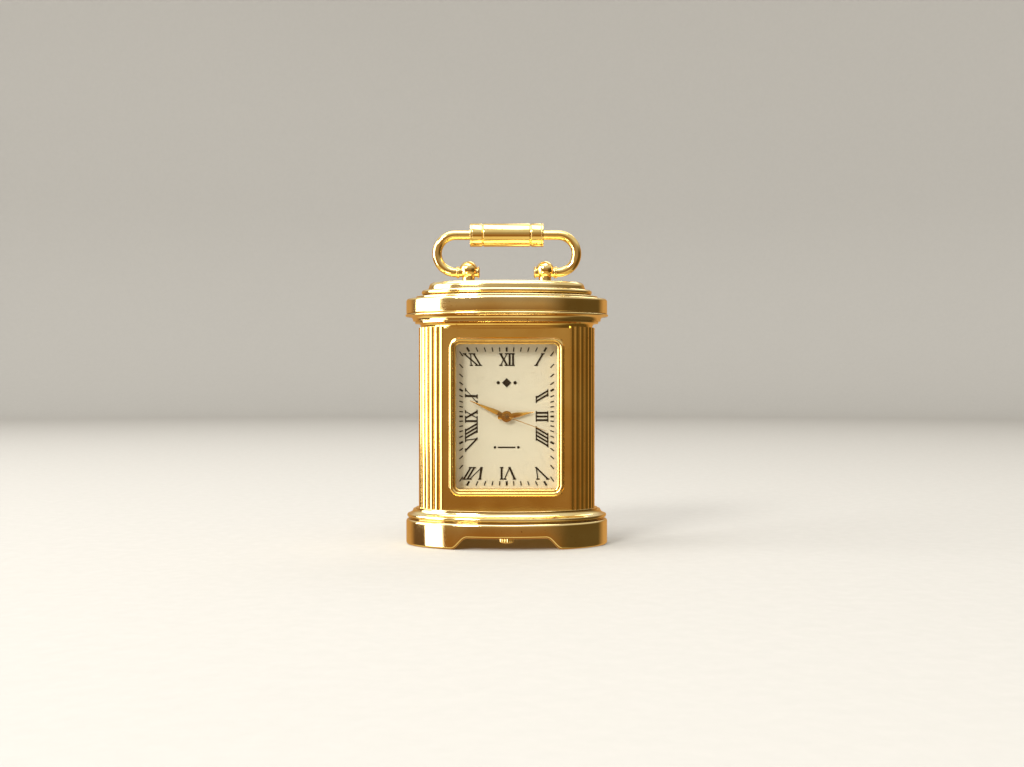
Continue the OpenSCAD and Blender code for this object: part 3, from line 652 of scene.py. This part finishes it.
def case_body():
    """Two reeded columns joined by flat panels, hollow, with a window and a way in behind."""
    right = [(PANEL_A, PANEL_Y)] + reed_outline() + [(PANEL_A, -PANEL_Y)]
    outline = right + [(-x, -y) for x, y in right]
    shell = stack([[(x, y, z) for x, y in outline] for z in (BASE_TOP, PANEL_TOP)])
    piece = make_piece("body_casting", shell, GOLD, "case", "case_body")
    window_a, window_c = BEZEL_A - 0.5, BEZEL_C - 0.5
    rear_a, rear_c = REAR_OPENING
    for start, end in (
        ((-window_a, -PANEL_Y - 1, DIAL_Z - window_c), (window_a, 0, DIAL_Z + window_c)),
        ((-CAVITY_A, PANEL_INNER, BASE_TOP - 1), (CAVITY_A, -PANEL_INNER, BODY_TOP + 1)),
        ((-rear_a, 0, DIAL_Z - rear_c), (rear_a, PANEL_Y + 1, DIAL_Z + rear_c)),
    ):
        cut(piece, block(start, end))
    throat = [(BODY_A - 3.5, PANEL_TOP - 0.3), (BODY_A - 0.5, PANEL_TOP - 0.3)]
    throat += arc(BODY_A + 0.75, PANEL_TOP - 0.05, 1.25, 180, 131, 8)
    throat += [(BODY_A + 0.3, BODY_TOP), (BODY_A - 3.5, BODY_TOP)]
    neck = oval_sweep(throat, closed=True)
    make_piece("body_neck", neck, GOLD, "case", "case_body")


def cornice():
    """From below: a foot, a cove, a lip, the band, a step, a bead and the rounded crown."""
    foot, cove_foot = BODY_A + 0.8, BODY_TOP + 0.5
    under = [
        (CORE_A, BODY_TOP), (foot - 0.08, BODY_TOP), (foot, BODY_TOP + 0.08),
        (foot, cove_foot - 0.05),
    ]
    cove = arc(LIP_A - 0.5, cove_foot + 0.02, CORNICE_COVE_R, 180, 108, 8)
    lip = arc(LIP_A - CORNICE_LIP_R, cove_foot + 1.25, CORNICE_LIP_R, -80, 80, 6)
    band_low, band_top = CORNICE_BAND
    band = [(BAND_A - 0.3, band_low)] + arc(BAND_A - 0.3, band_low + 0.3, 0.3, -80, 0, 4)
    band += arc(BAND_A - BAND_EDGE_R, band_top - BAND_EDGE_R, BAND_EDGE_R, 0, 86, 8)
    step = eased([
        (BAND_A - 2.05, band_top), (BAND_A - 2.12, band_top + 0.55), (BAND_A - 3.9, band_top + 0.6),
    ], 0.2)
    bead_z = band_top + 0.8 + CORNICE_BEAD_R
    bead = arc(BAND_A - 3.87, bead_z, CORNICE_BEAD_R, -78, 82, 12)
    top = [(BAND_A - 4.75, bead_z + 0.58), (BAND_A - 4.82, CORNICE_TOP - 1.12)]
    top += arc(BAND_A - 6.0, CORNICE_TOP - CORNICE_CROWN_R, CORNICE_CROWN_R, 0, 62, 8)
    top += eased([
        (BAND_A - 5.6, CORNICE_TOP - 0.12), (BAND_A - 5.7, CORNICE_TOP), (CORE_A, CORNICE_TOP),
    ], 0.1)
    shape = oval_sweep(under + cove + lip + band + step + bead + top)
    make_piece("cornice_casting", shape, GOLD_BAND, "case", "cornice")


def bezel():
    """An inner bead, a taller outer bead and a fine lip, on a neck that sits in the window."""
    edge = BEZEL_W / 2
    neck_out, neck_in = edge - 0.5, 0.42 - edge
    rises = [(-edge, 0), (-edge, 0.4)] + arc(0.32 - edge, 0.5, 0.32, 170, 35, 8)
    rises += arc(0.2, 0.88, 0.42, 202, -32, 14)
    rises += eased([(0.6, 0.3), (edge, 0.26), (edge, 0)], 0.08)
    profile = [(out, -PANEL_Y - rise) for out, rise in rises]
    profile += [
        (neck_out, -PANEL_Y), (neck_out, PANEL_INNER), (neck_in, PANEL_INNER), (neck_in, -PANEL_Y),
    ]
    shape = frame_sweep(BEZEL_A - edge, BEZEL_C - edge, BEZEL_CORNER_R, profile)
    make_piece("bezel_ring", shape, GOLD_TRIM, "case", "bezel")


def back_screw(number, x, z):
    """A slotted cheese-head screw, each turned to its own angle."""
    head_h = SCREW_Y - COVER_Y
    head = eased([
        (0.02, 0), (SCREW_R, 0), (SCREW_R, head_h * 0.7), (0.55, head_h), (0.02, head_h),
    ], 0.1)
    shape = lathe(head, (x, COVER_Y, z), Y, 40)
    name = f"back_screw_{number}"
    screw = make_piece(name, shape, STEEL, "case", "rear_cover_screws")
    turn = math.radians(20 + 47 * (number - 1))
    cos, sin = math.cos(turn), math.sin(turn)
    corners = ((-1, -SLOT_HALF), (1, -SLOT_HALF), (1, SLOT_HALF), (-1, SLOT_HALF))
    cut(screw, stack([
        [(x + cos * u - sin * v, y, z + sin * u + cos * v) for u, v in corners]
        for y in (SCREW_Y - SLOT_DEPTH, SCREW_Y + 1)
    ]))


def rear_cover():
    """A plain plate with eased edges, held by four screws."""
    thick = COVER_Y - PANEL_Y
    path = frame_path(COVER_A, COVER_C, COVER_CORNER_R)
    shape = stack([
        [(x + nx * out, PANEL_Y + rise, DIAL_Z + z + nz * out) for x, z, nx, nz in path]
        for out, rise in eased([(0, 0), (0, thick), (-0.6, thick)], 0.22, 5)
    ])
    make_piece("back_plate", shape, GOLD, "case", "rear_cover")
    for i, (sx, sz) in enumerate(((-1, -1), (1, -1), (1, 1), (-1, 1))):
        back_screw(i + 1, sx * (COVER_A - SCREW_IN), DIAL_Z + sz * (COVER_C - SCREW_IN))


# ---------- handle ----------

def handle_post(side):
    """A round post with a ball head, bored across for the wire."""
    name = "left" if side < 0 else "right"
    seat = math.degrees(math.asin((POST_R - 0.06) / BALL_R))
    neck_z = BALL_Z - BALL_R * math.cos(math.radians(seat))
    profile = eased([
        (0.02, CORNICE_TOP), (POST_R + 0.12, CORNICE_TOP), (POST_R, CORNICE_TOP + 0.4),
        (POST_R, neck_z - 0.12), (POST_R - 0.1, neck_z - 0.02),
    ], 0.12)
    profile += arc(0, BALL_Z, BALL_R, seat - 90, 89.5, 32)
    shape = lathe(profile, (side * POST_X, 0, 0))
    piece = make_piece("post_" + name, shape, GOLD_TRIM, "case", "handle_post_" + name)
    cut(piece, drill(WIRE_R + BORE_PLAY, -4, 4, (side * POST_X, 0, PIVOT_Z), X))


def bail_path():
    """Half the wire's centreline, from its end inside the post out, round and in to the middle."""
    bend = (GRIP_Z - PIVOT_Z) / 2
    bend_x = BAIL_A - WIRE_R - bend
    start = POST_X - BALL_R - BUTTON_T
    path = [(start + (bend_x - start - 0.1) * i / 8, PIVOT_Z) for i in range(9)]
    path += arc(bend_x, PIVOT_Z + bend, bend, -90, 90, 32)
    return path + [(bend_x * (1 - i / 6), GRIP_Z) for i in range(1, 7)]


def handle_bail():
    """The bent wire, with a grooved collar outside each post and a button inside it."""
    right = bail_path()
    path = right + [(-x, z) for x, z in reversed(right[:-1])]
    button = eased([
        (0.02, 0), (1.0, 0), (COLLAR_R, 0.2), (COLLAR_R, BUTTON_T), (WIRE_R - 0.05, BUTTON_T),
    ], 0.15, 6)
    collar = eased([
        (WIRE_R - 0.05, 0), (COLLAR_R, 0), (COLLAR_R, 0.25), (COLLAR_R - 0.1, 0.3),
        (COLLAR_R, 0.35), (COLLAR_R, COLLAR_T), (WIRE_R - 0.05, COLLAR_T),
    ], 0.09)
    clearance = BALL_R + COLLAR_GAP
    rings = [
        lathe([(r, side * (start + along)) for r, along in outline], (0, 0, PIVOT_Z), X, 48)
        for outline, start in (
            (button, POST_X - clearance - BUTTON_T), (collar, POST_X + clearance),
        )
        for side in (-1, 1)
    ]
    shape = join(tube(path, WIRE_R), *rings)
    make_piece("bail_wire", shape, GOLD_TRIM, "handle", "handle_bail")


def grip():
    """A tube a little slimmer than the two grooved caps that close it."""
    centre, sleeve_r = (0, 0, GRIP_Z), GRIP_R - 0.02
    sleeve = eased([
        (WIRE_R, -TUBE_HALF), (sleeve_r, -TUBE_HALF), (sleeve_r, TUBE_HALF), (WIRE_R, TUBE_HALF),
    ], 0.16)
    shape = lathe(sleeve, centre, X, 96)
    make_piece("grip_sleeve", shape, GOLD_TRIM, "handle", "grip_tube")
    cap = eased([
        (WIRE_R, TUBE_HALF), (GRIP_R - 0.2, TUBE_HALF), (GRIP_R - 0.2, TUBE_HALF + 0.22),
        (GRIP_R, TUBE_HALF + 0.3), (GRIP_R, GRIP_HALF - 0.5), (GRIP_R - 0.07, GRIP_HALF - 0.45),
        (GRIP_R, GRIP_HALF - 0.4), (GRIP_R, GRIP_HALF), (WIRE_R + 0.25, GRIP_HALF),
        (WIRE_R, GRIP_HALF - 0.15),
    ], 0.1)
    mirrored = [(r, -along) for r, along in reversed(cap)]
    caps = join(lathe(cap, centre, X, 96), lathe(mirrored, centre, X, 96))
    make_piece("grip_ends", caps, GOLD_TRIM, "handle", "grip_caps")


# ---------- crown ----------

def crown():
    """A fluted knob with a domed end."""
    length, points = CROWN_TOP - CROWN_Z, 12 * CROWN_FLUTES
    flute = CROWN_R - CROWN_CORE_R
    # (height, radius, share of the flutes' depth)
    levels = [
        (0, 0.1, 0), (0.04, 0.7, 0), (0.12, 1.14, 0), (0.2, 1.34, 0.2), (0.3, 1.42, 0.8),
        (0.4, 1.44, 1), (length - 0.12, 1.44, 1), (length - 0.03, 1.38, 0.6), (length, 1.25, 0),
    ]
    rings = []
    for rise, core, share in levels:
        ring = []
        for i in range(points):
            turn = 2 * math.pi * i / points
            r = core + share * flute * (0.5 + 0.5 * math.cos(CROWN_FLUTES * turn))
            ring.append((r * math.cos(turn), STEM_Y + r * math.sin(turn), CROWN_Z + rise))
        rings.append(ring)
    make_piece("crown_knob", stack(rings), GOLD_TRIM, "crown_stem", "crown")


# ---------- hands ----------

def ridged_hand(name, node, body, angle, thick, hub, outline, material, bore=None):
    """A hand with a ridge along its middle, on a round hub. outline is (half width, along)."""
    turn, back = math.radians(angle), high(node, Y)
    hub_r, hub_t = hub
    shoulder = thick * 0.35

    def place(side, out, depth):
        return (
            math.cos(turn) * side + math.sin(turn) * out,
            back - depth,
            DIAL_Z - math.sin(turn) * side + math.cos(turn) * out,
        )

    section = ((-1, 0), (-1, shoulder), (0, thick), (1, shoulder), (1, 0))
    blade = stack([[place(side * w, out, depth) for side, depth in section] for w, out in outline])
    boss = eased([(0.05, 0), (hub_r, 0), (hub_r, -hub_t), (0.05, -hub_t)], 0.05)
    shape = join(blade, lathe(boss, (0, back, DIAL_Z), Y, 48))
    piece = make_piece(name, shape, material, body, node, RIDGE)
    if bore:
        cut(piece, drill(bore, -1, 1, (0, back, DIAL_Z), Y), True, RIDGE)


def hands():
    """Two leaves and a needle, each wide near its hub and fine at its tip."""
    hour = [(0.3, -1.9), (0.42, -1.5), (0.3, 0), (0.55, 1.6), (0.5, 2.4), (0.25, 4.2), (0.05, 5.9)]
    minute = [(0.2, -1.3), (0.24, 0), (0.5, 2.2), (0.47, 3.2), (0.2, 6.2), (0.05, 8.5)]
    needle = [
        (0.38, -2.04), (0.44, -1.9), (0.4, -1.0), (0.1, -0.93), (0.1, 0), (0.085, 4), (0.05, 8.9),
    ]
    ridged_hand("hour_leaf", "hour_hand", "hour", HOUR_ANGLE, 0.14, (1.2, 0.15), hour,
                GOLD_HAND, HOUR_BORE_R)
    ridged_hand("minute_leaf", "minute_hand", "minute", MINUTE_ANGLE, 0.14, (0.9, 0.2), minute,
                GOLD_HAND, MINUTE_BORE_R)
    ridged_hand("second_needle", "second_hand", "second", SECOND_ANGLE, 0.09, (0.45, 0.14), needle,
                GOLD_NEEDLE)


# ---------- camera, floor and light ----------

def camera():
    """Level with the middle of the clock, straight on and close, as a hand-held snapshot is."""
    data = bpy.data.cameras.new("camera")
    data.lens, data.sensor_width = LENS, SENSOR
    data.clip_start, data.clip_end = 0.01, 20
    item = bpy.data.objects.new("camera", data)
    item.location = Vector(VIEW_FROM) * MM
    item.rotation_euler = (math.radians(90), 0, 0)
    bpy.context.scene.collection.objects.link(item)
    bpy.context.scene.camera = item


def studio():
    """A round pale cove, a floor that bends up into a low wall. The metal doesn't mirror it."""
    radius, bend, height, steps = 1.25, 0.25, 0.9, 96
    profile = [(0, 0), (0.2, 0), (radius - bend, 0)]
    profile += arc(radius - bend, bend, bend, -90, 0, 16) + [(radius, height)]
    turns = (2 * math.pi * i / steps for i in range(steps))
    rings = [[(r * math.cos(t), r * math.sin(t), z) for r, z in profile] for t in turns]
    verts, faces = loft(rings, caps=False)
    mesh = bpy.data.meshes.new("cove")
    mesh.from_pydata(verts, [], faces)
    tidy(mesh)
    paper = coated("studio_paper", (0.43, 0.418, 0.397), 0.85, 400, 0.02, 0.02, 0.2)
    mesh.materials.append(paper)
    cove = bpy.data.objects.new("cove", mesh)
    cove.visible_glossy = False
    bpy.context.scene.collection.objects.link(cove)


def room():
    """What the metal mirrors: pale above, brown at eye level, and a lit strip low down."""
    world = bpy.data.worlds.new("room")
    bpy.context.scene.world = world
    world.use_nodes = True
    tree = world.node_tree
    coordinates = tree.nodes.new("ShaderNodeTexCoord")
    direction = tree.nodes.new("ShaderNodeSeparateXYZ")
    tree.links.new(coordinates.outputs["Generated"], direction.inputs["Vector"])
    height = ramp(tree, direction.outputs["Z"], -1, 1, 0.0, 1.0)
    tiers = tree.nodes.new("ShaderNodeValToRGB")
    tree.links.new(height, tiers.inputs["Fac"])
    # (height of the direction from -1, down, to 1, up; colour)
    levels = [
        (-1.0, (0.25, 0.10, 0.02)), (-0.85, (0.30, 0.13, 0.03)), (-0.68, (0.90, 0.76, 0.44)),
        (-0.45, (0.90, 0.76, 0.44)), (-0.28, (0.32, 0.13, 0.02)), (-0.10, (0.30, 0.17, 0.07)),
        (0.03, (0.42, 0.28, 0.14)), (0.12, (0.36, 0.27, 0.18)), (0.30, (0.45, 0.38, 0.28)),
        (0.55, (0.80, 0.78, 0.72)), (1.0, (0.75, 0.72, 0.64)),
    ]
    stops = tiers.color_ramp.elements
    stops.remove(stops[1])
    stops[0].position, stops[0].color = 0, (*levels[0][1], 1)
    for level, colour in levels[1:]:
        stops.new((level + 1) / 2).color = (*colour, 1)
    # Darker at the right and at the far left, warmer behind, all only near eye level and below
    sides = [
        ("X", 0.45, 0.75, (0.12, 0.08, 0.03)), ("X", -0.86, -0.95, (0.14, 0.08, 0.04)),
        ("Y", 0.25, 0.6, (0.60, 0.35, 0.14)),
    ]
    below = ramp(tree, direction.outputs["Z"], 0.12, 0.5, 1.0, 0.0)
    sky = tiers.outputs["Color"]
    for axis, start, end, colour in sides:
        share = ramp(tree, direction.outputs[axis], start, end, 0.0, 1.0)
        mix = tree.nodes.new("ShaderNodeMix")
        mix.data_type = "RGBA"
        tree.links.new(maths(tree, "MULTIPLY", share, below), mix.inputs["Factor"])
        tree.links.new(sky, mix.inputs["A"])
        mix.inputs["B"].default_value = (*colour, 1)
        sky = mix.outputs["Result"]
    tree.links.new(sky, tree.nodes["Background"].inputs["Color"])
    tree.nodes["Background"].inputs["Strength"].default_value = 1


def area_light(name, place, target, size, power, colour):
    """A rectangular softbox, in metres and watts, that the camera doesn't see."""
    data = bpy.data.lights.new(name, "AREA")
    data.shape = "RECTANGLE"
    data.size, data.size_y = size
    data.energy, data.color = power, colour
    item = bpy.data.objects.new(name, data)
    item.location = place
    item.rotation_euler = (Vector(target) - Vector(place)).to_track_quat("-Z", "Y").to_euler()
    item.visible_camera = False
    bpy.context.scene.collection.objects.link(item)


def lights():
    """Two windows that the bands mirror at the left, a box above, a key in front, a weak fill."""
    centre, daylight = (0, 0, 0.035), (1.0, 0.99, 0.97)
    area_light("window_left", (-0.88, -0.18, 0.37), (0, 0, 0.37), (0.72, 0.78), 11, daylight)
    area_light("window_low", (-0.8, -0.36, -0.17), (0, 0, -0.17), (0.38, 0.3), 2.2, daylight)
    area_light("top_box", (-0.1, -0.12, 0.95), centre, (1.1, 0.7), 8.5, daylight)
    area_light("key_front", (-0.5, -0.75, 0.62), centre, (0.3, 0.3), 9, (1.0, 0.98, 0.93))
    area_light("back_fill", (0.3, 0.65, 0.8), centre, (0.6, 0.3), 1.5, (1.0, 0.97, 0.92))
    bpy.context.scene.view_settings.view_transform = "Standard"


camera()
studio()
room()
lights()
base_plinth()
case_body()
cornice()
bezel()
for post_side in (-1, 1):
    handle_post(post_side)
handle_bail()
grip()
crown()
rear_cover()
hands()

dress(GLASS, "crystal")
dress(GOLD_SATIN, "dial_spacer")
dress(CREAM, "dial_plate")
dress(INK, "dial_markings")
print_bolder("dial_markings", INK_SPREAD)
dress(GOLD_HAND, "dial_washer")
dress(PLASTIC, "movement_holder")
dress(STEEL, "case_screws", "post_nuts", "bridge_screws", "battery_strap")
dress(PLATE, "main_plate")
dress(BRIDGE, "train_bridge")
dress(CORE, "stator", "coil_core")
dress(COPPER, "coil")
dress(BOARD, "circuit_board")
dress(RESIN, "circuit_chip")
dress(CAN, "quartz_crystal")
dress(BATTERY, "battery")
dress(WHEEL, "second_wheel", "centre_wheel", "hour_wheel", "third_wheel", "fifth_wheel",
      "minute_wheel")
dress(PINION, "second_arbor", "cannon_pinion", "third_pinion", "fifth_pinion", "rotor_pinion",
      "setting_wheel", "setting_lever", "clutch_wheel", "stem")
dress(MAGNET, "rotor_magnet")
